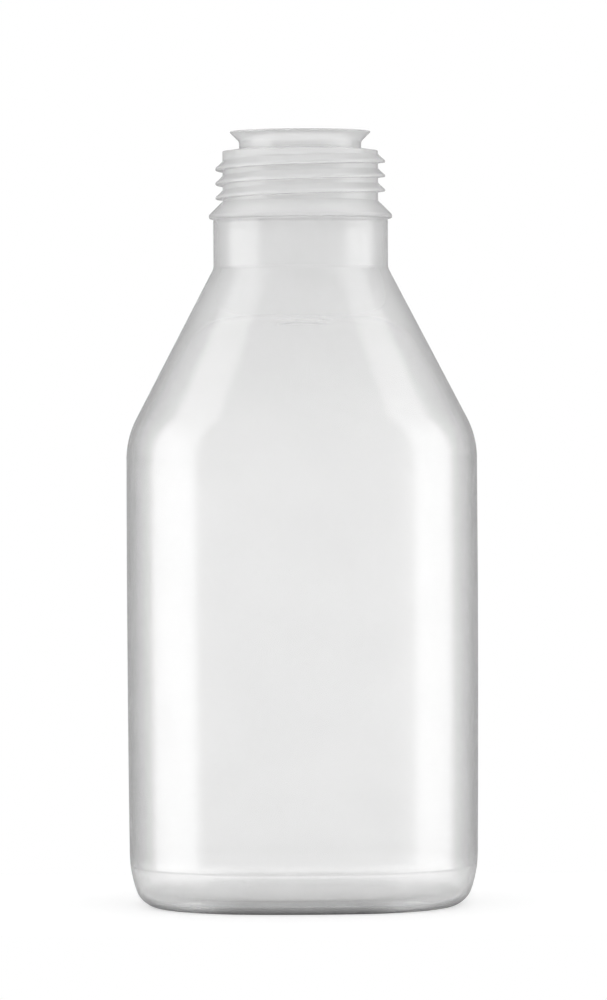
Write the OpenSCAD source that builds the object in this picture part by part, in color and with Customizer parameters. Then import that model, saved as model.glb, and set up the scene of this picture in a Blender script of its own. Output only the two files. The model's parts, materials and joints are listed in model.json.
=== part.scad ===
// Narrow-neck bottle, blown in one piece from milky natural plastic, without its cap.
// The body is a square with bowed sides and large round corners, and a long shoulder
// runs from it to a round neck with a screw thread. All sizes are in millimetres.
// Z points up, the origin is the middle of the base on the floor, and the flat sides
// look along X and Y. The mould's parting plane is the plane y = 0.

/* [Overall] */
// Height from the floor to the top of the lip
total_h = 169.4; // [150:0.1:220]

/* [Body] */
// Width across the flat sides, where the body meets the shoulder
body_w = 76.95; // [68:0.05:90]
// Width across the flat sides, just above the heel
heel_w = 76.5; // [67.5:0.05:90]
// Extra half width that the sides gain halfway up
side_swell = 0.15; // [0:0.05:0.6]
// Radius of the upright corners, seen from above
corner_r = 28.5; // [16:0.5:31]
// Radius of the slight bow of each flat side, seen from above
side_r = 85; // [60:1:200]
// Thickness of the body's wall
body_wall = 0.8; // [0.5:0.05:1.6]

/* [Shoulder] */
// Slope of the shoulder, measured from upright
shoulder_angle = 27.5; // [23:0.5:34]
// Radius of the bend between the body and the shoulder
shoulder_r = 19.2; // [6:0.1:26]

/* [Heel and base] */
// Radius of the heel's upper, slow curve
heel_top_r = 25.4; // [12:0.1:40]
// Turn of the heel's upper curve
heel_top_angle = 19; // [12:1:30]
// Radius of the heel's lower, tight curve
heel_low_r = 4.8; // [2.2:0.1:6]
// Width of the flat ring that the bottle stands on
stand_w = 3.5; // [1.5:0.1:6]
// Height of the base's middle above the floor
push_up = 1.5; // [1:0.1:7]
// Thickness of the base
base_wall = 1.1; // [0.6:0.05:1.8]

/* [Neck] */
// Height of the plain neck below the bead
neck_h = 10.8; // [4:0.1:20]
// Outer radius of the plain neck
neck_r = 19.12; // [18.8:0.005:19.7]
// Thickness of the plain neck's wall
neck_wall = 1.2; // [0.8:0.05:1.8]
// Radius of the hollow bend between the neck and the shoulder
neck_bend_r = 2; // [0.5:0.1:5]

/* [Bead] */
// Outer radius of the bead that holds a cap's locking ring
bead_r = 20.1; // [19.9:0.05:22]
// Height of the bead's upright rim
bead_rim_h = 1.15; // [0.8:0.05:2]

/* [Screw thread] */
// Radius at the foot of the thread
thread_root_r = 17.06; // [16.6:0.01:17.6]
// Height of the thread above its foot
thread_depth = 1.59; // [0.8:0.01:2]
// Rise of the thread in one turn
thread_pitch = 3.175; // [2.8:0.005:4.5]
// Width of the thread's crest
thread_crest = 0.5; // [0.3:0.05:0.8]
// Slope of the thread's upper flank, measured from level
thread_top_slope = 43; // [30:1:50]
// Slope of the thread's lower flank, measured from level
thread_low_slope = 5; // [5:1:20]
// Bearing of the thread's lower end, counter-clockwise from +X
thread_start = 153; // [0:1:359]
// Height of the neck's stretch that carries the thread
thread_zone_h = 10.95; // [9:0.05:16]
// Thickness of the wall behind the thread
thread_wall = 1.48; // [1:0.02:2]

/* [Mouth] */
// Radius of the bore through the throat
bore_r = 12.2; // [10:0.1:12.6]
// Outer radius of the throat, below the flared lip
throat_r = 13.4; // [13.2:0.1:14.4]
// Outer radius of the flared lip
lip_r = 15.4; // [15:0.1:16.2]
// Height of the lip and the throat above the step
lip_h = 3.8; // [3.4:0.1:6]
// Slope of the lip's flare, measured from level
flare_slope = 45; // [40:1:50]
// Radius of the hollow bend between the throat and the flare
flare_bend_r = 1.2; // [0.5:0.1:1.5]
// Height of the lip's outer edge
lip_edge_h = 0.25; // [0.2:0.05:0.6]
// Width of the lip's flat top
lip_flat_w = 0.6; // [0.3:0.05:1]
// Fall of the step from the throat to its edge
step_fall = 0.5; // [0.1:0.05:1]
// Thickness of the step under the throat
step_wall = 1.7; // [1:0.1:2.5]

/* [Shoulder mark] */
// Length of the raised bar on the front of the shoulder
mark_w = 9.6; // [4:0.1:14]
// Height of the bar, up the slope
mark_h = 0.7; // [0.4:0.05:1.5]
// How far the bar stands out
mark_depth = 0.22; // [0.1:0.02:0.5]
// Drop from the foot of the neck to the bar's centre
mark_drop = 12; // [6:0.1:20]

/* [Hidden] */

// Facets of the body's plan: steps along each bowed side and round each corner
side_steps = 4;
corner_steps = 14;
// Steps of the curves that are seen from the side
bend_steps = 6;
neck_bend_steps = 3;
swell_steps = 4;
heel_top_steps = 3;
heel_low_steps = 6;
arc_steps = 8;
// Degrees between two sections of the thread, and the run-out at each of its ends
thread_step = 7.5;
thread_fade = 28;
// Depth to which the thread and the bar are rooted in the wall
root_depth = 0.4;
// Width of the small step inside the neck, under the thick wall of the bead and thread,
// and the depth to which the plain neck runs up into that wall
seat_step = 0.4;
seat_lap = 0.6;

// Half widths of the body at the shoulder and above the heel
top_half = body_w / 2;
low_half = heel_w / 2;

// Heights of the neck finish, from the lip down
step_z = total_h - lip_h;
zone_top_z = step_z - step_fall;
zone_low_z = zone_top_z - thread_zone_h;
// The bead's upper face is a cone at 45 degrees with a small rounded edge
bead_edge_r = 0.28;
rim_top_z = zone_low_z - (bead_r - bead_edge_r - thread_root_r);
rim_low_z = rim_top_z - bead_rim_h;
neck_low_z = rim_low_z - neck_h;

// Heights of the shoulder and the body, from the neck down
corner_z = neck_low_z - (top_half - neck_r) / tan(shoulder_angle);
neck_bend_z = neck_low_z + neck_bend_r * tan(shoulder_angle / 2);
bend_reach = shoulder_r * tan(shoulder_angle / 2);
body_top_z = corner_z - bend_reach;
heel_z = heel_top_r * sin(heel_top_angle) + heel_low_r * (1 - sin(heel_top_angle));
heel_top_inset = heel_top_r * (1 - cos(heel_top_angle));
stand_inset = heel_top_inset + heel_low_r * cos(heel_top_angle);

// The flare is a cone outside, which meets the throat in the bend, and full inside.
// Its bend begins at this height.
flare_w = lip_r - throat_r - flare_bend_r * (1 - sin(flare_slope));
flare_z = total_h - lip_edge_h - flare_w * tan(flare_slope) - flare_bend_r * cos(flare_slope);
mouth_r = lip_r - lip_flat_w;

// Inner radii of the neck
thread_bore_r = thread_root_r - thread_wall;
neck_bore_r = neck_r - neck_wall;

function mix(a, b, t) = a + (b - a) * t;
function heading(angle) = [cos(angle), sin(angle)];
function turned(p, angle) = [p.x * cos(angle) - p.y * sin(angle), p.x * sin(angle) + p.y * cos(angle)];
function smooth(t) = let (u = min(max(t, 0), 1)) u * u * (3 - 2 * u);
// Points on a stretch of an ellipse, whose two half axes are the size
function arc(centre, size, from, to, steps = arc_steps) =
    [for (i = [0:steps]) let (d = heading(mix(from, to, i / steps))) centre + [size.x * d.x, size.y * d.y]];

// Plan of the body at half width w: corner centre, angle where side and corner meet,
// and the point of the outline whose outward direction has the given angle
function corner_offset(w) =
    let (a = side_r - w, d = side_r - corner_r) (sqrt(2 * d * d - a * a) - a) / 2;
function meet_angle(w) = let (c = corner_offset(w)) atan2(c, c + side_r - w);
function quadrant_point(w, angle) =
    let (c = corner_offset(w), f = meet_angle(w))
    angle < f ? [w - side_r, 0] + side_r * heading(angle)
    : angle > 90 - f ? [0, w - side_r] + side_r * heading(angle)
    : [c, c] + corner_r * heading(angle);
function plan_point(w, angle) =
    let (q = floor(angle / 90)) turned(quadrant_point(w, angle - 90 * q), 90 * q);

// Directions at which every ring of the skin has its points
meet = meet_angle(top_half);
headings = [for (q = [0:3]) each concat(
    [for (i = [0:side_steps - 1]) 90 * q + mix(-meet, meet, i / side_steps)],
    [for (i = [0:corner_steps - 1]) 90 * q + mix(meet, 90 - meet, i / corner_steps)])];
ring_n = len(headings);

// A level of the skin: its height, the body's half width, the share of the way from the
// round neck to the square body, the inset from that outline and the scale to the middle
function level(z, w = top_half, share = 1, inset = 0, scale = 1) = [z, w, share, inset, scale];
function skin_point(l, angle) =
    let (square = plan_point(l[1], angle),
         p = l[4] * (mix(neck_r * heading(angle), square, l[2]) - l[3] * heading(angle)))
    [p.x, p.y, l[0]];
function ring(l) = [for (angle = headings) skin_point(l, angle)];

function half_at(t) = mix(low_half, top_half, t) + side_swell * 4 * t * (1 - t);
function neck_share(half) = (half - neck_r) / (top_half - neck_r);
function wall_at(share) = mix(neck_wall, body_wall, share);
// Rise of the base inside the standing ring, from 0 at the ring to push_up in the middle
function rise(t) = push_up * (0.72 * smooth(t / 0.2) + 0.28 * (1 - pow(1 - t, 2)));
base_stops = [0.04, 0.09, 0.15, 0.2, 0.45];

// Levels from the neck to the base. thick = 0 gives the outside and thick = 1 the inside.
function shoulder_levels(thick) = [
    level(rim_low_z + seat_lap, share = 0, inset = thick * neck_wall),
    for (i = [0:neck_bend_steps])
        let (tilt = shoulder_angle * i / neck_bend_steps)
        level(neck_bend_z - neck_bend_r * sin(tilt), inset = thick * neck_wall,
              share = neck_share(neck_r + neck_bend_r * (1 - cos(tilt)))),
    for (i = [0:bend_steps])
        let (tilt = shoulder_angle * (1 - i / bend_steps),
             share = neck_share(top_half - shoulder_r * (1 - cos(tilt))))
        level(body_top_z + shoulder_r * sin(tilt), share = share, inset = thick * wall_at(share))];
function body_levels(thick) = [
    for (i = [1:swell_steps])
        let (t = 1 - i / swell_steps)
        level(mix(heel_z, body_top_z, t), w = half_at(t), inset = thick * body_wall)];
function heel_level(tilt, inset, z, thick) =
    let (wall = thick * mix(body_wall, base_wall, tilt / 90))
    level(z + wall * sin(tilt), w = low_half, inset = inset + wall * cos(tilt));
function heel_levels(thick) = [
    for (i = [1:heel_top_steps])
        let (tilt = heel_top_angle * i / heel_top_steps)
        heel_level(tilt, heel_top_r * (1 - cos(tilt)), heel_z - heel_top_r * sin(tilt), thick),
    for (i = [1:heel_low_steps])
        let (tilt = mix(heel_top_angle, 90, i / heel_low_steps))
        heel_level(tilt, heel_top_inset + heel_low_r * (cos(heel_top_angle) - cos(tilt)),
                   heel_low_r * (1 - sin(tilt)), thick)];
function base_levels(thick) = [
    for (t = concat([0], base_stops))
        level(rise(t) + thick * base_wall, w = low_half, inset = stand_inset + stand_w, scale = 1 - t)];
function skin_levels(thick) =
    concat(shoulder_levels(thick), body_levels(thick), heel_levels(thick), base_levels(thick));

// Triangles between two rings, and from a ring to a point, as seen from outside
function band(a, b, n) = [for (i = [0:n - 1]) let (j = (i + 1) % n)
    each [[a + i, b + i, b + j], [a + i, b + j, a + j]]];
function fan(a, tip, n) = [for (i = [0:n - 1]) [a + i, tip, a + (i + 1) % n]];
function flipped(faces) = [for (f = faces) [f[2], f[1], f[0]]];

// Plain neck, shoulder, body, heel and base: an outer and an inner skin, joined round the top
module shell() {
    outer = skin_levels(0);
    inner = skin_levels(1);
    n = len(outer);
    inside = n * ring_n + 1;
    points = concat([for (l = outer) each ring(l)], [[0, 0, push_up]],
                    [for (l = inner) each ring(l)], [[0, 0, push_up + base_wall]]);
    outer_faces = concat([for (k = [0:n - 2]) each band(k * ring_n, (k + 1) * ring_n, ring_n)],
                         fan((n - 1) * ring_n, inside - 1, ring_n));
    inner_faces = [for (f = outer_faces) [f[2] + inside, f[1] + inside, f[0] + inside]];
    polyhedron(points, flipped(concat(outer_faces, inner_faces, band(inside, 0, ring_n))));
}

// Outline of the finish above the plain neck, down the outside from the lip and up the inside
function finish_outline() = concat(
    [[lip_r, total_h], [lip_r, total_h - lip_edge_h]],
    arc([throat_r + flare_bend_r, flare_z], [1, 1] * flare_bend_r, 90 + flare_slope, 180, 4),
    [[throat_r, step_z], [thread_root_r, zone_top_z], [thread_root_r, zone_low_z]],
    arc([bead_r - bead_edge_r, rim_top_z - bead_edge_r * tan(22.5)], [1, 1] * bead_edge_r, 45, 0, 3),
    arc([bead_r - bead_edge_r, rim_low_z + bead_edge_r], [1, 1] * bead_edge_r, 0, -90, 3),
    [[neck_bore_r - seat_step, rim_low_z], [thread_bore_r, zone_low_z],
     [thread_bore_r, step_z - step_wall - (thread_bore_r - bore_r) / 4], [bore_r, step_z - step_wall]],
    arc([mouth_r, flare_z], [mouth_r - bore_r, total_h - flare_z], 180, 90));

// Bead, wall behind the thread, throat and flared lip, all turned about the bottle's axis
module finish() {
    rotate_extrude($fn = 96) polygon(finish_outline());
}

// The thread is as long as the stretch of neck that carries it allows
thread_low_h = thread_depth * tan(thread_low_slope);
thread_top_h = thread_depth * tan(thread_top_slope);
thread_sweep = 360 * (thread_zone_h - thread_low_h - thread_crest - thread_top_h) / thread_pitch;
thread_sections = ceil(thread_sweep / thread_step);

// Section of the thread at the given angle from its lower end, rooted in the neck's wall
function thread_section(along) =
    let (size = smooth(min(along, thread_sweep - along) / thread_fade),
         crest_r = thread_root_r - root_depth / 2 + (thread_depth + root_depth / 2) * size,
         root_r = thread_root_r - root_depth,
         z = zone_low_z + thread_low_h + thread_pitch * along / 360,
         out = heading(thread_start + along),
         low = (crest_r - root_r) * tan(thread_low_slope),
         top = (crest_r - root_r) * tan(thread_top_slope))
    [[root_r * out.x, root_r * out.y, z - low], [crest_r * out.x, crest_r * out.y, z],
     [crest_r * out.x, crest_r * out.y, z + thread_crest],
     [root_r * out.x, root_r * out.y, z + thread_crest + top]];

// A bar with four-sided sections, closed at both ends
module swept_bar(sections) {
    n = len(sections);
    last = 4 * (n - 1);
    sides = [for (k = [0:n - 2]) each band(4 * k, 4 * (k + 1), 4)];
    ends = [[2, 1, 0], [3, 2, 0], [last, last + 1, last + 2], [last, last + 2, last + 3]];
    polyhedron([for (s = sections) each s], concat(sides, ends));
}

module thread() {
    swept_bar([for (i = [0:thread_sections]) thread_section(thread_sweep * i / thread_sections)]);
}

// Raised bar across the front of the shoulder, bent to follow it
mark_z = neck_low_z - mark_drop;
mark_share = neck_share(neck_r + mark_drop * tan(shoulder_angle));
mark_front_r = mix(neck_r, side_r, mark_share);
mark_spread = asin(mark_w / 2 / mark_front_r);
mark_steps = 6;
function mark_point(angle, up, out) =
    let (share = mark_share - up * tan(shoulder_angle) / (top_half - neck_r))
    skin_point(level(mark_z + up, share = share, inset = -out), angle);
function mark_section(angle) = [
    mark_point(angle, -mark_h / 2, -root_depth), mark_point(angle, -mark_h / 2, mark_depth),
    mark_point(angle, mark_h / 2, mark_depth), mark_point(angle, mark_h / 2, -root_depth)];
module mark() {
    swept_bar([for (i = [0:mark_steps]) mark_section(-90 + mark_spread * (2 * i / mark_steps - 1))]);
}

module bottle() {
    color([0.9, 0.9, 0.9, 0.75]) union() {
        shell();
        finish();
        thread();
        mark();
    }
}

bottle();
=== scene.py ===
"""Looks of a narrow-neck bottle, blown in one piece from milky natural plastic.

The wall is one closed mesh: an outer skin from the lip down to the middle of the base, and an
inner skin back up to the lip. Sizes are in millimetres until the mesh is made in metres.
"""

import json
import math

import bmesh
import bpy
import numpy as np
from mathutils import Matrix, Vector


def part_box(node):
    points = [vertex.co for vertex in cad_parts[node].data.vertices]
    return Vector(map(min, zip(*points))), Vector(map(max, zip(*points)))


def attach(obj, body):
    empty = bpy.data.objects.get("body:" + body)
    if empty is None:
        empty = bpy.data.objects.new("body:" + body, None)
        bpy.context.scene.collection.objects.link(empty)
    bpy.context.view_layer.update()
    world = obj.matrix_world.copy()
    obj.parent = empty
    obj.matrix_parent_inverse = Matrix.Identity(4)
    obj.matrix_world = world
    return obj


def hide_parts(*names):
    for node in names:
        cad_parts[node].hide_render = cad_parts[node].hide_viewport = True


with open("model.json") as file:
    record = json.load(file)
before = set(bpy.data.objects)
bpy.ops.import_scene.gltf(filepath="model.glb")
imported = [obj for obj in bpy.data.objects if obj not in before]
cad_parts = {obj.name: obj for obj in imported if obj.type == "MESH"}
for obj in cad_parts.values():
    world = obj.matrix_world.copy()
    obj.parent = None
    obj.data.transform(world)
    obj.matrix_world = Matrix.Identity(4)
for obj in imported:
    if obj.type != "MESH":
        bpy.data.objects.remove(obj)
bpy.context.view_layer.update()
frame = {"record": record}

MM = 0.001
NODE = "bottle"
low_corner, high_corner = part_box(NODE)
mounts = {m["name"]: m for m in frame["record"]["mounts"]}

# Overall sizes, from the frame
TOTAL_H = high_corner.z / MM
WIDEST = (high_corner.x - low_corner.x) / MM
BORE_R = mounts["mouth"]["dims"]["r_mm"]

# Body, seen from above: four bowed sides joined by four round corners
SIDE_SWELL = 0.15
SEAM_RISE = 0.03
BODY_TAPER = 0.225
# What the swell adds to the widest section, over the width at the top
BODY_CROWN = (4 * SIDE_SWELL - BODY_TAPER) ** 2 / (16 * SIDE_SWELL)
TOP_HALF = WIDEST / 2 - BODY_CROWN - SEAM_RISE
LOW_HALF = TOP_HALF - BODY_TAPER
CORNER_R = 28.5
SIDE_R = 85.0
BODY_WALL = 0.8

# Shoulder
SHOULDER_ANGLE = math.radians(27.5)
SHOULDER_R = 19.2

# Heel and base
HEEL_TOP_R = 25.4
HEEL_TOP_ANGLE = math.radians(19)
HEEL_LOW_R = 4.8
STAND_W = 3.5
PUSH_UP = 1.5
BASE_WALL = 1.1

# Neck and bead
NECK_H = 10.8
NECK_R = 19.12
NECK_WALL = 1.2
NECK_BEND_R = 2.0
BEAD_R = 20.1
BEAD_RIM_H = 1.15
BEAD_EDGE_R = 0.28

# Screw thread
THREAD_ROOT_R = 17.06
THREAD_DEPTH = 1.59
THREAD_PITCH = 3.175
THREAD_CREST = 0.5
THREAD_TOP_SLOPE = math.radians(43)
THREAD_LOW_SLOPE = math.radians(5)
THREAD_START = 153.0
THREAD_FADE = 28.0
THREAD_ZONE_H = 10.95
THREAD_FOOT_GAP = 0.11
THREAD_TOP_GAP = 0.3
THREAD_RUN_OUT = 0.12
THREAD_WALL = 1.48

# Mouth
THROAT_R = 13.4
LIP_R = 15.4
LIP_H = 3.8
FLARE_SLOPE = math.radians(45)
FLARE_BEND_R = 1.2
LIP_EDGE_H = 0.25
LIP_FLAT_W = 0.6
STEP_FALL = 0.5
STEP_WALL = 1.7

# Heights, from the lip down
STEP_Z = TOTAL_H - LIP_H
ZONE_TOP_Z = STEP_Z - STEP_FALL
ZONE_LOW_Z = ZONE_TOP_Z - THREAD_ZONE_H
RIM_TOP_Z = ZONE_LOW_Z - (BEAD_R - BEAD_EDGE_R - THREAD_ROOT_R)
RIM_LOW_Z = RIM_TOP_Z - BEAD_RIM_H
NECK_LOW_Z = RIM_LOW_Z - NECK_H
CORNER_Z = NECK_LOW_Z - (TOP_HALF - NECK_R) / math.tan(SHOULDER_ANGLE)
BODY_TOP_Z = CORNER_Z - SHOULDER_R * math.tan(SHOULDER_ANGLE / 2)
NECK_BEND_Z = NECK_LOW_Z + NECK_BEND_R * math.tan(SHOULDER_ANGLE / 2)
HEEL_Z = HEEL_TOP_R * math.sin(HEEL_TOP_ANGLE) + HEEL_LOW_R * (1 - math.sin(HEEL_TOP_ANGLE))
HEEL_TOP_INSET = HEEL_TOP_R * (1 - math.cos(HEEL_TOP_ANGLE))
STAND_INSET = HEEL_TOP_INSET + HEEL_LOW_R * math.cos(HEEL_TOP_ANGLE)
FLARE_W = LIP_R - THROAT_R - FLARE_BEND_R * (1 - math.sin(FLARE_SLOPE))
FLARE_H = FLARE_W * math.tan(FLARE_SLOPE) + FLARE_BEND_R * math.cos(FLARE_SLOPE)
FLARE_Z = TOTAL_H - LIP_EDGE_H - FLARE_H
MOUTH_R = LIP_R - LIP_FLAT_W
THREAD_BORE_R = THREAD_ROOT_R - THREAD_WALL
NECK_BORE_R = NECK_R - NECK_WALL

# Fine marks that the mould leaves: lines round the bottle, seams up both sides, a pinched seam
# under the base and a raised bar on the front of the shoulder
NECK_LINE_RISE = 0.05
BODY_LINE_RISE = 0.06
BASE_LINE_RISE = 0.008
LINE_W = 0.16
BODY_LINE_UP = 0.3
BODY_LINE_Z = BODY_TOP_Z + BODY_LINE_UP
BASE_LINE_Z = 9.0
SEAM_SPREAD = 0.14
PINCH_RISE = 0.5
PINCH_SPREAD = 0.3
MARK_W = 8.8
MARK_H = 0.7
MARK_DEPTH = 0.2
MARK_DROP = 12.0
MARK_BOW = 0.3
MARK_NUB = (5.1, 0.5, 0.3)

# Plastic: how much of the light it scatters and how bright it is, with painted shade along the bottom of
# the heel. It changes with the height, towards the corners and from front to back, at places given in
# metres.
BODY_MILK = 0.12
NECK_MILK = 0.3
FINISH_MILK = 0.45
HEEL_MILK = 0.12
RIM_MILK = 0.7
BODY_TONE = 0.99
NECK_TONE = 0.985
# painted shade: the base colour that the lowest band of the heel is darkened to
RIM_PAINTED_SHADE_TONE = 0.7
TONE_SPREAD = 0.008
GLOSS = (0.12, 0.16)
CLOUD_SCALE = 60.0
RIPPLE_SCALE = 180.0
GRAIN_SCALE = 900.0
GRAIN_SHARE = 0.15
RELIEF_STRENGTH = 0.03
RELIEF_DEPTH = 0.0004
NECK_THICKENS = (0.09, 0.145)
FINISH_THICKENS = (0.148, 0.155)
HEEL_THICKENS = (0.003, 0.006)
RIM_THICKENS_AND_SHADE = (0.0012, 0.0024)
CORNER_THINS_AND_LESS_SHADE = (0.012, 0.024)
CORNER_RIM = 0.4
FRONT_TO_BACK = (-0.02, 0.02)
BACK_RIM = 0.55

# Small dark specks in the plastic: place and size, in millimetres
SPECKS = (((0.68, -38.6, 54.1), 0.22), ((-10.6, -38.3, 31.2), 0.18))
SPECK_TONE = 0.35

# Light: degrees are counted round the bottle from the camera's side to the back. Climbs are
# the upward part of a direction, from -1 straight down to 1 straight up.
PANEL_FROM_LEFT = 58
PANEL_FROM_RIGHT = 65
PANEL_TO = 109
PANEL_SOFT = 7
PANEL_LIGHT = 2.2
PANEL_FOOT_CLIMB = (-0.75, -0.35)
PANEL_FOOT = 0.3
PANEL_HIGH_CLIMB = (0.4, 0.8)
PANEL_HIGH = 0.75
PANEL_TOP_CLIMB = (0.84, 0.97)
PANEL_TOP = 0.2
BACKDROP_FROM = 169
BACKDROP_SOFT = 6
BACKDROP_LIGHT = 1.13
ROOM_GREY = 0.38
EVEN_CLIMB = (0.3, 0.9)
EVEN_LIGHT = 1.12
EVEN_TOP = 0.82
LAMP_PLACE = (0.0, -0.2, 1.4)
LAMP_TARGET = (0, 0, 0.08)
LAMP_SIZE = (1.0, 1.0)
LAMP_POWER = 0.5
PAPER_GREY = 0.5
PAPER_GRAIN_SCALE = 400.0
FLOOR_GLOW = 0.6
FLOOR_GLEAM = 0.05
FLOOR_SHINE = 0.88
FLOOR_W = 0.16

# Camera: the photo's viewpoint, a little above the middle of the bottle and looking slightly down
LENS = 215.7
SENSOR_W = 36
CAMERA_PLACE = (0.00044, -1.316, 0.1078)
CAMERA_DOWN = math.radians(0.84)
CAMERA_ROLL = math.radians(0.3)

# Facets
SHARP_ANGLE = math.radians(50)
SHOULDER_STEPS = 64
SIDE_STEPS = (20, 20, 20, 48)
CORNER_STEPS = 30
ROUND_STEP = math.radians(14)
SEAM_OFFSETS = (-0.34, -0.17, 0.0, 0.17, 0.34)


def mix(a, b, t):
    return a + (b - a) * t


def smooth(t):
    u = np.clip(t, 0.0, 1.0)
    return u * u * (3 - 2 * u)


def bump(t):
    """A soft ridge, 1 at t = 0 and gone by t = 2."""
    return np.exp(-np.square(t))


def corner_offset(half):
    a = SIDE_R - half
    return (math.sqrt(2 * (SIDE_R - CORNER_R) ** 2 - a * a) - a) / 2


def meet_angle(half):
    """Outward direction, in degrees, at which a bowed side and a corner meet."""
    c = corner_offset(half)
    return math.degrees(math.atan2(c, c + SIDE_R - half))


def column_headings():
    """Outward directions, in degrees, at which every ring has its points. The mould's seam
    runs up the sides at 0 and 180 degrees and has columns of its own."""
    meet = meet_angle(TOP_HALF)
    found = []
    for quarter, steps in enumerate(SIDE_STEPS):
        side = [mix(-meet, meet, i / steps) for i in range(steps)]
        if quarter % 2 == 0:
            side = sorted([a for a in side if abs(a) > 0.5] + list(SEAM_OFFSETS))
        corner = [mix(meet, 90 - meet, i / CORNER_STEPS) for i in range(CORNER_STEPS)]
        found += [90 * quarter + a for a in side + corner]
    return np.array(found)


HEADINGS = column_headings()
COUNT = len(HEADINGS)
OUT = np.stack([np.cos(np.radians(HEADINGS)), np.sin(np.radians(HEADINGS))], axis=1)
FROM_SEAM = np.abs((HEADINGS + 90) % 180 - 90)
SEAM = bump(FROM_SEAM / SEAM_SPREAD)


def plan(half):
    """The body's outline at the given half width, one point for each heading."""
    c, meet = corner_offset(half), meet_angle(half)
    points = []
    for heading in HEADINGS:
        quarter = math.floor(heading / 90)
        angle = heading - 90 * quarter
        out = np.array([math.cos(math.radians(angle)), math.sin(math.radians(angle))])
        if angle < meet:
            p = np.array([half - SIDE_R, 0.0]) + SIDE_R * out
        elif angle > 90 - meet:
            p = np.array([0.0, half - SIDE_R]) + SIDE_R * out
        else:
            p = np.array([c, c]) + CORNER_R * out
        turn = math.radians(90 * quarter)
        points.append((p[0] * math.cos(turn) - p[1] * math.sin(turn),
                       p[0] * math.sin(turn) + p[1] * math.cos(turn)))
    return np.array(points)


TOP_PLAN = plan(TOP_HALF)
LOW_PLAN = plan(LOW_HALF)


def ring(outline, z):
    """A row of the mesh: x, y and z of each column."""
    return np.column_stack([outline, np.broadcast_to(z, (COUNT,))])


def skin(outline, z, proud=0.0):
    """A row of the moulded outside, which carries the seams and stands proud by a little more."""
    return ring(outline + OUT * (SEAM_RISE * SEAM + proud)[:, None], z)


def round_rows(profile):
    return [ring(OUT * r, z) for r, z in profile]


def rounded(corners):
    """A (radius, height) line through corners that are given as (radius, height, rounding)."""
    line = []
    for i, (r, z, rounding) in enumerate(corners):
        if not rounding or i in (0, len(corners) - 1):
            line.append((r, z))
            continue
        p = Vector((r, z))
        back, ahead = Vector(corners[i - 1][:2]) - p, Vector(corners[i + 1][:2]) - p
        half_angle = back.angle(ahead) / 2
        reach = min(rounding / math.tan(half_angle), 0.45 * back.length, 0.45 * ahead.length)
        inward = (back.normalized() + ahead.normalized()).normalized()
        centre = p + inward * (reach / math.cos(half_angle))
        first, last = p + back.normalized() * reach - centre, p + ahead.normalized() * reach - centre
        start = math.atan2(first.y, first.x)
        turn = (math.atan2(last.y, last.x) - start + math.pi) % (2 * math.pi) - math.pi
        steps = max(2, math.ceil(abs(turn) / ROUND_STEP))
        for k in range(steps + 1):
            angle = start + turn * k / steps
            line.append((centre.x + first.length * math.cos(angle),
                         centre.y + first.length * math.sin(angle)))
    return line


def ellipse(centre, size, first, last, steps):
    """Points on a stretch of an ellipse; first and last are degrees, and both ends are included."""
    angles = [math.radians(mix(first, last, k / steps)) for k in range(steps + 1)]
    return [(centre[0] + size[0] * math.cos(a), centre[1] + size[1] * math.sin(a)) for a in angles]


def neck_share(half):
    """How far the section has gone from the round neck towards the square body."""
    return (half - NECK_R) / (TOP_HALF - NECK_R)


def loft(share, inset=0.0):
    """Outline between the round neck, at share 0, and the top of the body, at share 1."""
    return mix(OUT * NECK_R, TOP_PLAN, share) - OUT * inset


def line_rise(z, at, rise_there):
    return rise_there * bump((z - at) / LINE_W)


# Outer skin, from the lip down

def lip_rows():
    edge_z = TOTAL_H - LIP_EDGE_H
    foot_z = edge_z - (LIP_R - THROAT_R) * math.tan(FLARE_SLOPE)
    return round_rows(rounded([
        (MOUTH_R, TOTAL_H, 0), (LIP_R, TOTAL_H, 0.1), (LIP_R, edge_z, 0.12),
        (THROAT_R, foot_z, FLARE_BEND_R), (THROAT_R, STEP_Z, 0.3),
        (THREAD_ROOT_R, ZONE_TOP_Z, 0.25), (THREAD_ROOT_R, ZONE_TOP_Z - 0.6, 0)])[:-1])


# The thread's section: height above the crest's lower edge, and how far the surface stands out
THREAD_LOW_H = THREAD_DEPTH * math.tan(THREAD_LOW_SLOPE)
THREAD_TOP_H = THREAD_DEPTH * math.tan(THREAD_TOP_SLOPE)
THREAD_SWEEP = 360 * (THREAD_ZONE_H - THREAD_LOW_H - THREAD_CREST - THREAD_TOP_H) / THREAD_PITCH


def thread_section():
    """Root, lower flank, rounded crest and upper flank, as (height, share of the depth)."""
    low = [(-THREAD_LOW_H - 0.2, 0.0), (-THREAD_LOW_H - 0.1, 0.0), (-THREAD_LOW_H - 0.02, 0.06),
           (-THREAD_LOW_H * 0.5, 0.5), (0.0, 0.9)]
    crest = [(0.06, 0.97), (THREAD_CREST / 2, 1.0), (THREAD_CREST * 0.85, 0.98)]
    flank = [(THREAD_CREST + THREAD_TOP_H * t, 1 - t - 0.05 * math.sin(math.pi * t))
             for t in (0.06, 0.3, 0.6, 0.86, 0.95)]
    root = [(THREAD_CREST + THREAD_TOP_H * 1.06 + up, 0.0) for up in (0.0, 0.1)]
    return low + crest + flank + root


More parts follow.
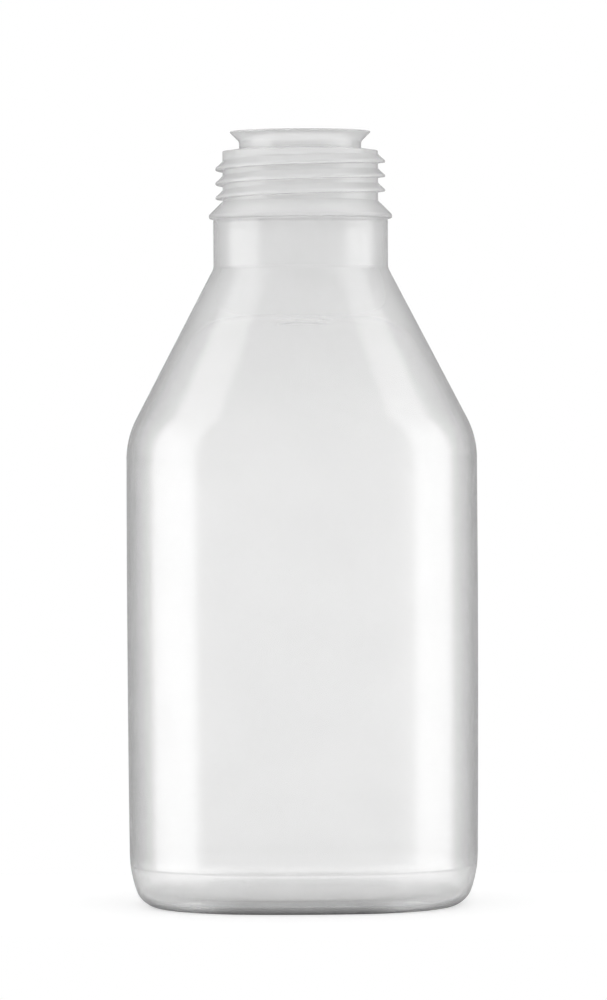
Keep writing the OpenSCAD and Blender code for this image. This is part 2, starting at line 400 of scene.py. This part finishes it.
def thread_rows():
    """Rows that climb with the thread, so each one ends a pitch above where it began. Rows are
    held between the top and the foot of the threaded stretch, where the thread runs out.
    Returned from the top down."""
    foot_z, top_z = ZONE_LOW_Z + THREAD_FOOT_GAP, ZONE_TOP_Z - THREAD_TOP_GAP
    rows = []
    for turn in range(-1, 5):
        along = HEADINGS - THREAD_START + 360 * turn
        size = smooth(np.minimum(along, THREAD_SWEEP - along) / THREAD_FADE)
        for height, stands in thread_section():
            z = ZONE_LOW_Z + THREAD_LOW_H + THREAD_PITCH * along / 360 + height
            inside = np.clip(np.minimum(z - foot_z, top_z - z) / THREAD_RUN_OUT, 0, 1)
            r = THREAD_ROOT_R + THREAD_DEPTH * stands * size * inside
            rows.append(ring(OUT * r[:, None], np.clip(z, foot_z, top_z)))
    return rows[::-1]


def bead_rows():
    profile = rounded([(THREAD_ROOT_R, ZONE_LOW_Z + 0.24, 0), (THREAD_ROOT_R, ZONE_LOW_Z, 0.25),
                       (BEAD_R, ZONE_LOW_Z - (BEAD_R - THREAD_ROOT_R), 0.4), (BEAD_R, RIM_LOW_Z, 0.35),
                       (NECK_R, RIM_LOW_Z, 0.25), (NECK_R, RIM_LOW_Z - 1, 0)])
    return round_rows(profile[1:])


def neck_rows():
    """The plain neck and the hollow bend into the shoulder, with the mould's line on the bend."""
    rows = [skin(OUT * NECK_R, mix(RIM_LOW_Z - 0.5, NECK_BEND_Z, t)) for t in (0, 0.3, 0.6)]
    for i in range(9):
        tilt = SHOULDER_ANGLE * i / 8
        share = neck_share(NECK_R + NECK_BEND_R * (1 - math.cos(tilt)))
        z = NECK_BEND_Z - NECK_BEND_R * math.sin(tilt)
        rows.append(skin(loft(share), z, line_rise(z, NECK_LOW_Z, NECK_LINE_RISE)))
    return rows


def plateau(t):
    """1 inside, 0 outside, with a soft edge at |t| = 1."""
    return smooth((1.22 - np.abs(t)) / 0.44)


def mark_rise(outline, z):
    """How far the raised bar on the front stands out here; it is fainter in its middle."""
    centre_z = NECK_LOW_Z - MARK_DROP - MARK_BOW * np.square(outline[:, 0] / (MARK_W / 2))
    x, front = outline[:, 0], outline[:, 1] < 0
    strength = mix(0.45, 1.0, smooth((np.abs(x) - 0.8) / 1.8))
    bar = plateau((z - centre_z) / (MARK_H / 2)) * plateau(x / (MARK_W / 2)) * strength
    nub = bump(np.hypot(x - MARK_NUB[0], z - NECK_LOW_Z + MARK_DROP - MARK_NUB[1]) / MARK_NUB[2])
    return MARK_DEPTH * np.maximum(bar, 0.8 * nub) * front


def shoulder_rows():
    top_z = NECK_BEND_Z - NECK_BEND_R * math.sin(SHOULDER_ANGLE)
    low_z = BODY_TOP_Z + SHOULDER_R * math.sin(SHOULDER_ANGLE)
    mark_z = NECK_LOW_Z - MARK_DROP
    rows = []
    # rows lie closer and closer towards the mark, which needs them to keep its shape
    first, last = (math.asinh((z - mark_z) / MARK_H) for z in (top_z, low_z))
    for step in np.linspace(first, last, SHOULDER_STEPS)[1:]:
        z = mark_z + MARK_H * math.sinh(step)
        share = neck_share(NECK_R + (NECK_LOW_Z - z) * math.tan(SHOULDER_ANGLE))
        outline = loft(share)
        rows.append(skin(outline, z, mark_rise(outline, z)))
    return rows


def bend_rows():
    rows = []
    tilts = sorted(set([SHOULDER_ANGLE * (1 - i / 14) for i in range(1, 15)]
                       + [math.asin((BODY_LINE_UP + d) / SHOULDER_R) for d in (-0.2, -0.1, 0, 0.1, 0.2)]),
                   reverse=True)
    for tilt in tilts:
        z = BODY_TOP_Z + SHOULDER_R * math.sin(tilt)
        share = neck_share(TOP_HALF - SHOULDER_R * (1 - math.cos(tilt)))
        rows.append(skin(loft(share), z, line_rise(z, BODY_LINE_Z, BODY_LINE_RISE)))
    return rows


def body_outline(z):
    t = (z - HEEL_Z) / (BODY_TOP_Z - HEEL_Z)
    return mix(LOW_PLAN, TOP_PLAN, t) + OUT * SIDE_SWELL * 4 * t * (1 - t)


def body_rows():
    return [skin(body_outline(z), z) for z in np.linspace(BODY_TOP_Z, HEEL_Z, 30)[1:]]


def heel_point(tilt):
    """Inset and height of the heel's outside where it has turned by tilt towards the floor."""
    if tilt <= HEEL_TOP_ANGLE:
        return HEEL_TOP_R * (1 - math.cos(tilt)), HEEL_Z - HEEL_TOP_R * math.sin(tilt)
    return (HEEL_TOP_INSET + HEEL_LOW_R * (math.cos(HEEL_TOP_ANGLE) - math.cos(tilt)),
            HEEL_LOW_R * (1 - math.sin(tilt)))


def heel_tilts():
    line = [math.asin((HEEL_Z - BASE_LINE_Z + d) / HEEL_TOP_R) for d in (-0.3, -0.15, 0, 0.15, 0.3)]
    upper = [HEEL_TOP_ANGLE * i / 7 for i in range(2, 8)]
    lower = [mix(HEEL_TOP_ANGLE, math.pi / 2, i / 16) for i in range(1, 17)]
    return line + upper + lower


def heel_rows():
    rows = []
    for tilt in heel_tilts():
        inset, z = heel_point(tilt)
        rows.append(skin(LOW_PLAN - OUT * inset, z, line_rise(z, BASE_LINE_Z, BASE_LINE_RISE)))
    return rows


def rise(t):
    """Height of the base inside the standing ring, at the share t of the way to the middle."""
    return PUSH_UP * (0.72 * smooth(t / 0.2) + 0.28 * (1 - (1 - t) ** 2))


BASE_STOPS = [0.0, 0.02, 0.04, 0.06, 0.08, 0.1, 0.12, 0.14, 0.16, 0.18, 0.2, 0.23, 0.27, 0.33, 0.41, 0.5,
              0.6, 0.7, 0.8, 0.88, 0.94, 0.98]


def base_outline(t):
    return (LOW_PLAN - OUT * (STAND_INSET + STAND_W)) * (1 - t)


def base_rows():
    """The standing ring's inner edge and the raised middle, crossed by the mould's pinched seam."""
    rows = []
    for t in BASE_STOPS:
        pinch = PINCH_RISE * bump(FROM_SEAM / PINCH_SPREAD) * smooth((t - 0.22) / 0.1)
        rows.append(ring(base_outline(t), rise(t) - pinch))
    return rows


# Inner skin, from the base up

def wall_at(share):
    return mix(NECK_WALL, BODY_WALL, share)


def inner_base_rows():
    return [ring(base_outline(t), rise(t) + BASE_WALL) for t in BASE_STOPS[::-1]]


def inner_heel_rows():
    rows = []
    upper = [HEEL_TOP_ANGLE * i / 5 for i in range(1, 6)]
    lower = [mix(HEEL_TOP_ANGLE, math.pi / 2, i / 10) for i in range(1, 11)]
    for tilt in upper + lower:
        inset, z = heel_point(tilt)
        wall = mix(BODY_WALL, BASE_WALL, tilt / (math.pi / 2))
        rows.append(ring(LOW_PLAN - OUT * (inset + wall * math.cos(tilt)), z + wall * math.sin(tilt)))
    return rows[::-1]


def inner_body_rows():
    rows = [ring(body_outline(z) - OUT * BODY_WALL, z) for z in np.linspace(HEEL_Z, BODY_TOP_Z, 14)]
    for i in range(1, 11):
        tilt = SHOULDER_ANGLE * i / 10
        share = neck_share(TOP_HALF - SHOULDER_R * (1 - math.cos(tilt)))
        rows.append(ring(loft(share, wall_at(share)), BODY_TOP_Z + SHOULDER_R * math.sin(tilt)))
    low_z = BODY_TOP_Z + SHOULDER_R * math.sin(SHOULDER_ANGLE)
    top_z = NECK_BEND_Z - NECK_BEND_R * math.sin(SHOULDER_ANGLE)
    for z in np.linspace(low_z, top_z, 8)[1:]:
        share = neck_share(NECK_R + (NECK_LOW_Z - z) * math.tan(SHOULDER_ANGLE))
        rows.append(ring(loft(share, wall_at(share)), z))
    for i in range(5, -1, -1):
        tilt = SHOULDER_ANGLE * i / 6
        share = neck_share(NECK_R + NECK_BEND_R * (1 - math.cos(tilt)))
        rows.append(ring(loft(share, NECK_WALL), NECK_BEND_Z - NECK_BEND_R * math.sin(tilt)))
    return rows


def inner_neck_rows():
    ledge_z = STEP_Z - STEP_WALL
    profile = rounded([(NECK_BORE_R, NECK_BEND_Z + 1, 0), (NECK_BORE_R, RIM_LOW_Z, 1.5),
                       (THREAD_BORE_R, ZONE_LOW_Z, 1.5),
                       (THREAD_BORE_R, ledge_z - (THREAD_BORE_R - BORE_R) / 4, 0.8), (BORE_R, ledge_z, 0.4),
                       (BORE_R, FLARE_Z, 0)])
    mouth = ellipse((MOUTH_R, FLARE_Z), (MOUTH_R - BORE_R, TOTAL_H - FLARE_Z), 180, 90, 14)
    return round_rows(profile + mouth[1:-1])


def wall_mesh():
    """Outer rows run from the lip to the base and inner rows back; each skin ends in a middle
    point on the axis. Rows that come to lie on each other are merged."""
    lip, thread = lip_rows(), thread_rows()
    outer = (lip + thread + bead_rows() + neck_rows() + shoulder_rows() + bend_rows() + body_rows()
             + heel_rows() + base_rows())
    rows = outer + inner_base_rows() + inner_heel_rows() + inner_body_rows() + inner_neck_rows()
    climb = len(thread_section())
    points = [tuple(p) for p in np.concatenate(rows)] + [(0, 0, rise(1.0)), (0, 0, rise(1.0) + BASE_WALL)]
    outer_middle, inner_middle = len(points) - 2, len(points) - 1

    def at(row, column):
        """A row that climbs meets, a turn later, the row that began a pitch higher."""
        if column == COUNT:
            if len(lip) <= row < len(lip) + len(thread):
                row = max(row - climb, len(lip))
            column = 0
        return row % len(rows) * COUNT + column

    faces = []
    for row in range(len(rows)):
        for i in range(COUNT):
            if row == len(outer) - 1:
                faces.append((at(row, i), outer_middle, at(row, i + 1)))
                faces.append((at(row + 1, i + 1), inner_middle, at(row + 1, i)))
            else:
                faces.append((at(row, i), at(row + 1, i), at(row + 1, i + 1), at(row, i + 1)))
    mesh = bpy.data.meshes.new("bottle_wall")
    mesh.from_pydata(points, [], faces)
    work = bmesh.new()
    work.from_mesh(mesh)
    bmesh.ops.remove_doubles(work, verts=work.verts, dist=0.0005)
    bmesh.ops.dissolve_degenerate(work, edges=work.edges, dist=0.0001)
    bmesh.ops.scale(work, verts=work.verts, vec=(MM, MM, MM))
    bmesh.ops.recalc_face_normals(work, faces=work.faces)
    for face in work.faces:
        face.smooth = True
    for edge in work.edges:
        edge.smooth = edge.calc_face_angle(0) < SHARP_ANGLE
    work.to_mesh(mesh)
    work.free()
    return mesh


# Materials

class Nodes:
    """A node tree, with short calls for the nodes that this scene uses."""

    def __init__(self, tree):
        self.tree = tree
        tree.nodes.clear()

    def add(self, kind, inputs=None, **settings):
        node = self.tree.nodes.new(kind)
        for name, value in settings.items():
            setattr(node, name, value)
        for name, value in (inputs or {}).items():
            if isinstance(value, bpy.types.NodeSocket):
                self.tree.links.new(value, node.inputs[name])
            else:
                node.inputs[name].default_value = value
        return node

    def value(self, operation, *operands):
        return self.add("ShaderNodeMath", dict(enumerate(operands)), operation=operation).outputs[0]

    def vector(self, operation, output, *operands):
        node = self.add("ShaderNodeVectorMath", dict(enumerate(operands)), operation=operation)
        return node.outputs[output]

    def noise(self, coordinates, scale, detail=2.0):
        node = self.add("ShaderNodeTexNoise", {"Vector": coordinates, "Scale": scale, "Detail": detail})
        return node.outputs["Fac"]

    def remap(self, value, low, high, to_low, to_high):
        """A smooth step from to_low to to_high while the value goes from low to high."""
        limits = {"From Min": low, "From Max": high, "To Min": to_low, "To Max": to_high}
        node = self.add("ShaderNodeMapRange", {"Value": value, **limits}, interpolation_type="SMOOTHSTEP")
        return node.outputs["Result"]

    def grey(self, value):
        return self.add("ShaderNodeCombineColor", {"Red": value, "Green": value, "Blue": value}).outputs[0]


def plastic():
    """Milky polypropylene: lets light through, scatters some of it, and has a soft gloss. The lowest band
    of the heel carries painted shade in its colour.
    """
    material = bpy.data.materials.new("milky_plastic")
    material.use_nodes = True
    n = Nodes(material.node_tree)
    place = n.add("ShaderNodeTexCoord").outputs["Object"]
    cloud = n.noise(place, CLOUD_SCALE, 3.0)
    grain = n.noise(place, GRAIN_SCALE)
    ripple = n.noise(place, RIPPLE_SCALE)
    x, y, z = n.add("ShaderNodeSeparateXYZ", {"Vector": place}).outputs
    # thicker plastic, at the neck, the finish and low on the heel, lets less light through; the lowest band
    # of the heel is also painted darker, as painted shade
    neck = n.remap(z, *NECK_THICKENS, 0, 1)
    finish = n.remap(z, *FINISH_THICKENS, 0, 1)
    heel = n.remap(z, *HEEL_THICKENS, 1, 0)
    rim_milk_and_shade = n.remap(z, *RIM_THICKENS_AND_SHADE, 1, 0)
    # blowing stretches the plastic most into the corners, where it ends up thinner and clearer; there the
    # heel's painted shade is weaker too
    corner = n.value("MINIMUM", n.value("ABSOLUTE", x), n.value("ABSOLUTE", y))
    rim_milk_and_shade = n.value("MULTIPLY", rim_milk_and_shade, n.remap(corner, *CORNER_THINS_AND_LESS_SHADE, 1.0, CORNER_RIM))
    # towards the back the rim has less milk and less painted shade
    rim_milk_and_shade = n.value("MULTIPLY", rim_milk_and_shade, n.remap(y, *FRONT_TO_BACK, 1.0, BACK_RIM))
    milk = n.value("ADD", n.value("MULTIPLY", neck, NECK_MILK - BODY_MILK), BODY_MILK)
    milk = n.value("ADD", milk, n.value("MULTIPLY", finish, FINISH_MILK - NECK_MILK))
    milk = n.value("ADD", milk, n.value("MULTIPLY", heel, HEEL_MILK - BODY_MILK))
    milk = n.value("ADD", milk, n.value("MULTIPLY", rim_milk_and_shade, RIM_MILK - HEEL_MILK))
    tone = n.remap(cloud, 0.3, 0.7, BODY_TONE - TONE_SPREAD, BODY_TONE + TONE_SPREAD)
    tone = n.value("SUBTRACT", tone, n.value("MULTIPLY", neck, BODY_TONE - NECK_TONE))
    # painted shade: the lowest band of the heel is darkened in the base colour, less at the corners and at
    # the back
    tone = n.value("SUBTRACT", tone, n.value("MULTIPLY", rim_milk_and_shade, BODY_TONE - RIM_PAINTED_SHADE_TONE))
    for spot, size in SPECKS:
        away = n.vector("DISTANCE", "Value", place, tuple(MM * c for c in spot))
        speck = n.remap(away, 0.4 * size * MM, 1.3 * size * MM, SPECK_TONE, 1.0)
        tone = n.value("MULTIPLY", tone, speck)
    height = n.value("ADD", n.value("MULTIPLY", grain, GRAIN_SHARE), ripple)
    relief = n.add("ShaderNodeBump", {
        "Strength": RELIEF_STRENGTH,
        "Distance": RELIEF_DEPTH,
        "Height": height,
    })
    shader = n.add("ShaderNodeBsdfPrincipled", {
        "Base Color": n.grey(tone),
        "Roughness": n.remap(grain, 0.25, 0.75, *GLOSS),
        "IOR": 1.5,
        "Transmission Weight": n.value("SUBTRACT", 1.0, milk),
        "Normal": relief.outputs["Normal"],
    })
    n.add("ShaderNodeOutputMaterial", {"Surface": shader.outputs[0]})
    return material


def floor_paper():
    """Pale paper, which the camera sees as white where no shadow falls. Reflections see it darker,
    and light that comes through the plastic sees it bright."""
    material = bpy.data.materials.new("floor_paper")
    material.use_nodes = True
    n = Nodes(material.node_tree)
    place = n.add("ShaderNodeTexCoord").outputs["Object"]
    fibres = n.noise(place, PAPER_GRAIN_SCALE)
    relief = n.add("ShaderNodeBump", {"Strength": 0.1, "Distance": 0.0005, "Height": fibres})
    colour = (PAPER_GREY, PAPER_GREY, PAPER_GREY, 1)
    paper = n.add("ShaderNodeBsdfDiffuse", {"Color": colour, "Normal": relief.outputs["Normal"]})
    rays = n.add("ShaderNodeLightPath")
    shine = n.value("MULTIPLY", rays.outputs["Is Camera Ray"], FLOOR_GLOW)
    shine = n.value("ADD", shine, n.value("MULTIPLY", rays.outputs["Is Glossy Ray"], FLOOR_GLEAM))
    shine = n.value("ADD", shine, n.value("MULTIPLY", rays.outputs["Is Transmission Ray"], FLOOR_SHINE))
    glow = n.add("ShaderNodeEmission", {"Strength": shine})
    both = n.add("ShaderNodeAddShader", {0: paper.outputs[0], 1: glow.outputs[0]})
    n.add("ShaderNodeOutputMaterial", {"Surface": both.outputs[0]})
    return material


# Room

def studio_world():
    """White to the camera. Reflections see two tall soft panels at the bottle's sides in a grey
    room, and light that comes through the plastic also sees a white backdrop behind the bottle.
    Everything else gets even light, a little weaker from overhead."""
    world = bpy.data.worlds.new("studio")
    bpy.context.scene.world = world
    world.use_nodes = True
    n = Nodes(world.node_tree)
    direction = n.add("ShaderNodeTexCoord").outputs["Generated"]
    parts = n.add("ShaderNodeSeparateXYZ", {"Vector": direction})
    x, y, z = (parts.outputs[k] for k in "XYZ")
    azimuth = n.value("ARCTAN2", n.value("ABSOLUTE", x), n.value("MULTIPLY", y, -1.0))
    # degrees from the camera's side of the room: 0 in front of the bottle, 180 behind it
    degrees = n.value("MULTIPLY", azimuth, 180 / math.pi)
    begins = n.remap(x, -0.01, 0.01, PANEL_FROM_LEFT, PANEL_FROM_RIGHT)
    front = n.remap(n.value("SUBTRACT", degrees, begins), -PANEL_SOFT, PANEL_SOFT, 0, 1)
    back = n.remap(degrees, PANEL_TO - PANEL_SOFT, PANEL_TO + PANEL_SOFT, 1, 0)
    foot = n.remap(z, *PANEL_FOOT_CLIMB, PANEL_FOOT, 1.0)
    panel = n.value("MULTIPLY", n.value("MULTIPLY", front, back), foot)
    panel = n.value("MULTIPLY", panel, n.remap(z, *PANEL_HIGH_CLIMB, 1.0, PANEL_HIGH))
    panel = n.value("MULTIPLY", panel, n.remap(z, *PANEL_TOP_CLIMB, 1.0, PANEL_TOP))
    rays = n.add("ShaderNodeLightPath")
    backdrop = n.remap(degrees, BACKDROP_FROM - BACKDROP_SOFT, BACKDROP_FROM + BACKDROP_SOFT, 0, 1)
    backdrop = n.value("MULTIPLY", backdrop, rays.outputs["Is Transmission Ray"])
    room = n.value("ADD", ROOM_GREY, n.value("MULTIPLY", panel, PANEL_LIGHT - ROOM_GREY))
    room = n.value("ADD", room, n.value("MULTIPLY", backdrop, BACKDROP_LIGHT - ROOM_GREY))
    seen = n.value("MAXIMUM", rays.outputs["Is Glossy Ray"], rays.outputs["Is Transmission Ray"])
    even = n.remap(z, *EVEN_CLIMB, EVEN_LIGHT, EVEN_TOP)
    even = n.value("ADD", even, n.value("MULTIPLY", seen, n.value("SUBTRACT", room, even)))
    shown = n.add("ShaderNodeMix", {0: rays.outputs["Is Camera Ray"], 2: even, 3: 1.0}, data_type="FLOAT")
    light = n.add("ShaderNodeBackground", {"Color": (1, 1, 1, 1), "Strength": shown.outputs[0]})
    n.add("ShaderNodeOutputWorld", {"Surface": light.outputs[0]})


def floor():
    mesh = bpy.data.meshes.new("floor")
    half = FLOOR_W / 2
    corners = [(-half, -half, 0), (half, -half, 0), (half, half, 0), (-half, half, 0)]
    mesh.from_pydata(corners, [], [(0, 1, 2, 3)])
    obj = bpy.data.objects.new("floor", mesh)
    mesh.materials.append(floor_paper())
    bpy.context.scene.collection.objects.link(obj)


def soft_lamp(name, place, target, size, power):
    light = bpy.data.lights.new(name, "AREA")
    light.shape = "RECTANGLE"
    light.size, light.size_y = size
    light.energy = power
    lamp = bpy.data.objects.new(name, light)
    lamp.location = place
    lamp.rotation_euler = (Vector(target) - Vector(place)).to_track_quat("-Z", "Y").to_euler()
    bpy.context.scene.collection.objects.link(lamp)


def camera():
    data = bpy.data.cameras.new("camera")
    data.lens = LENS
    data.sensor_width = SENSOR_W
    data.clip_start = 0.01
    eye = bpy.data.objects.new("camera", data)
    eye.location = CAMERA_PLACE
    eye.rotation_euler = (math.pi / 2 - CAMERA_DOWN, CAMERA_ROLL, 0)
    bpy.context.scene.collection.objects.link(eye)
    bpy.context.scene.camera = eye


wall = bpy.data.objects.new("bottle_wall", wall_mesh())
bpy.context.scene.collection.objects.link(wall)
wall.data.materials.append(plastic())
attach(wall, "root")
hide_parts(NODE)

studio_world()
floor()
soft_lamp("overhead", LAMP_PLACE, LAMP_TARGET, LAMP_SIZE, LAMP_POWER)
camera()
bpy.context.scene.view_settings.view_transform = "Standard"
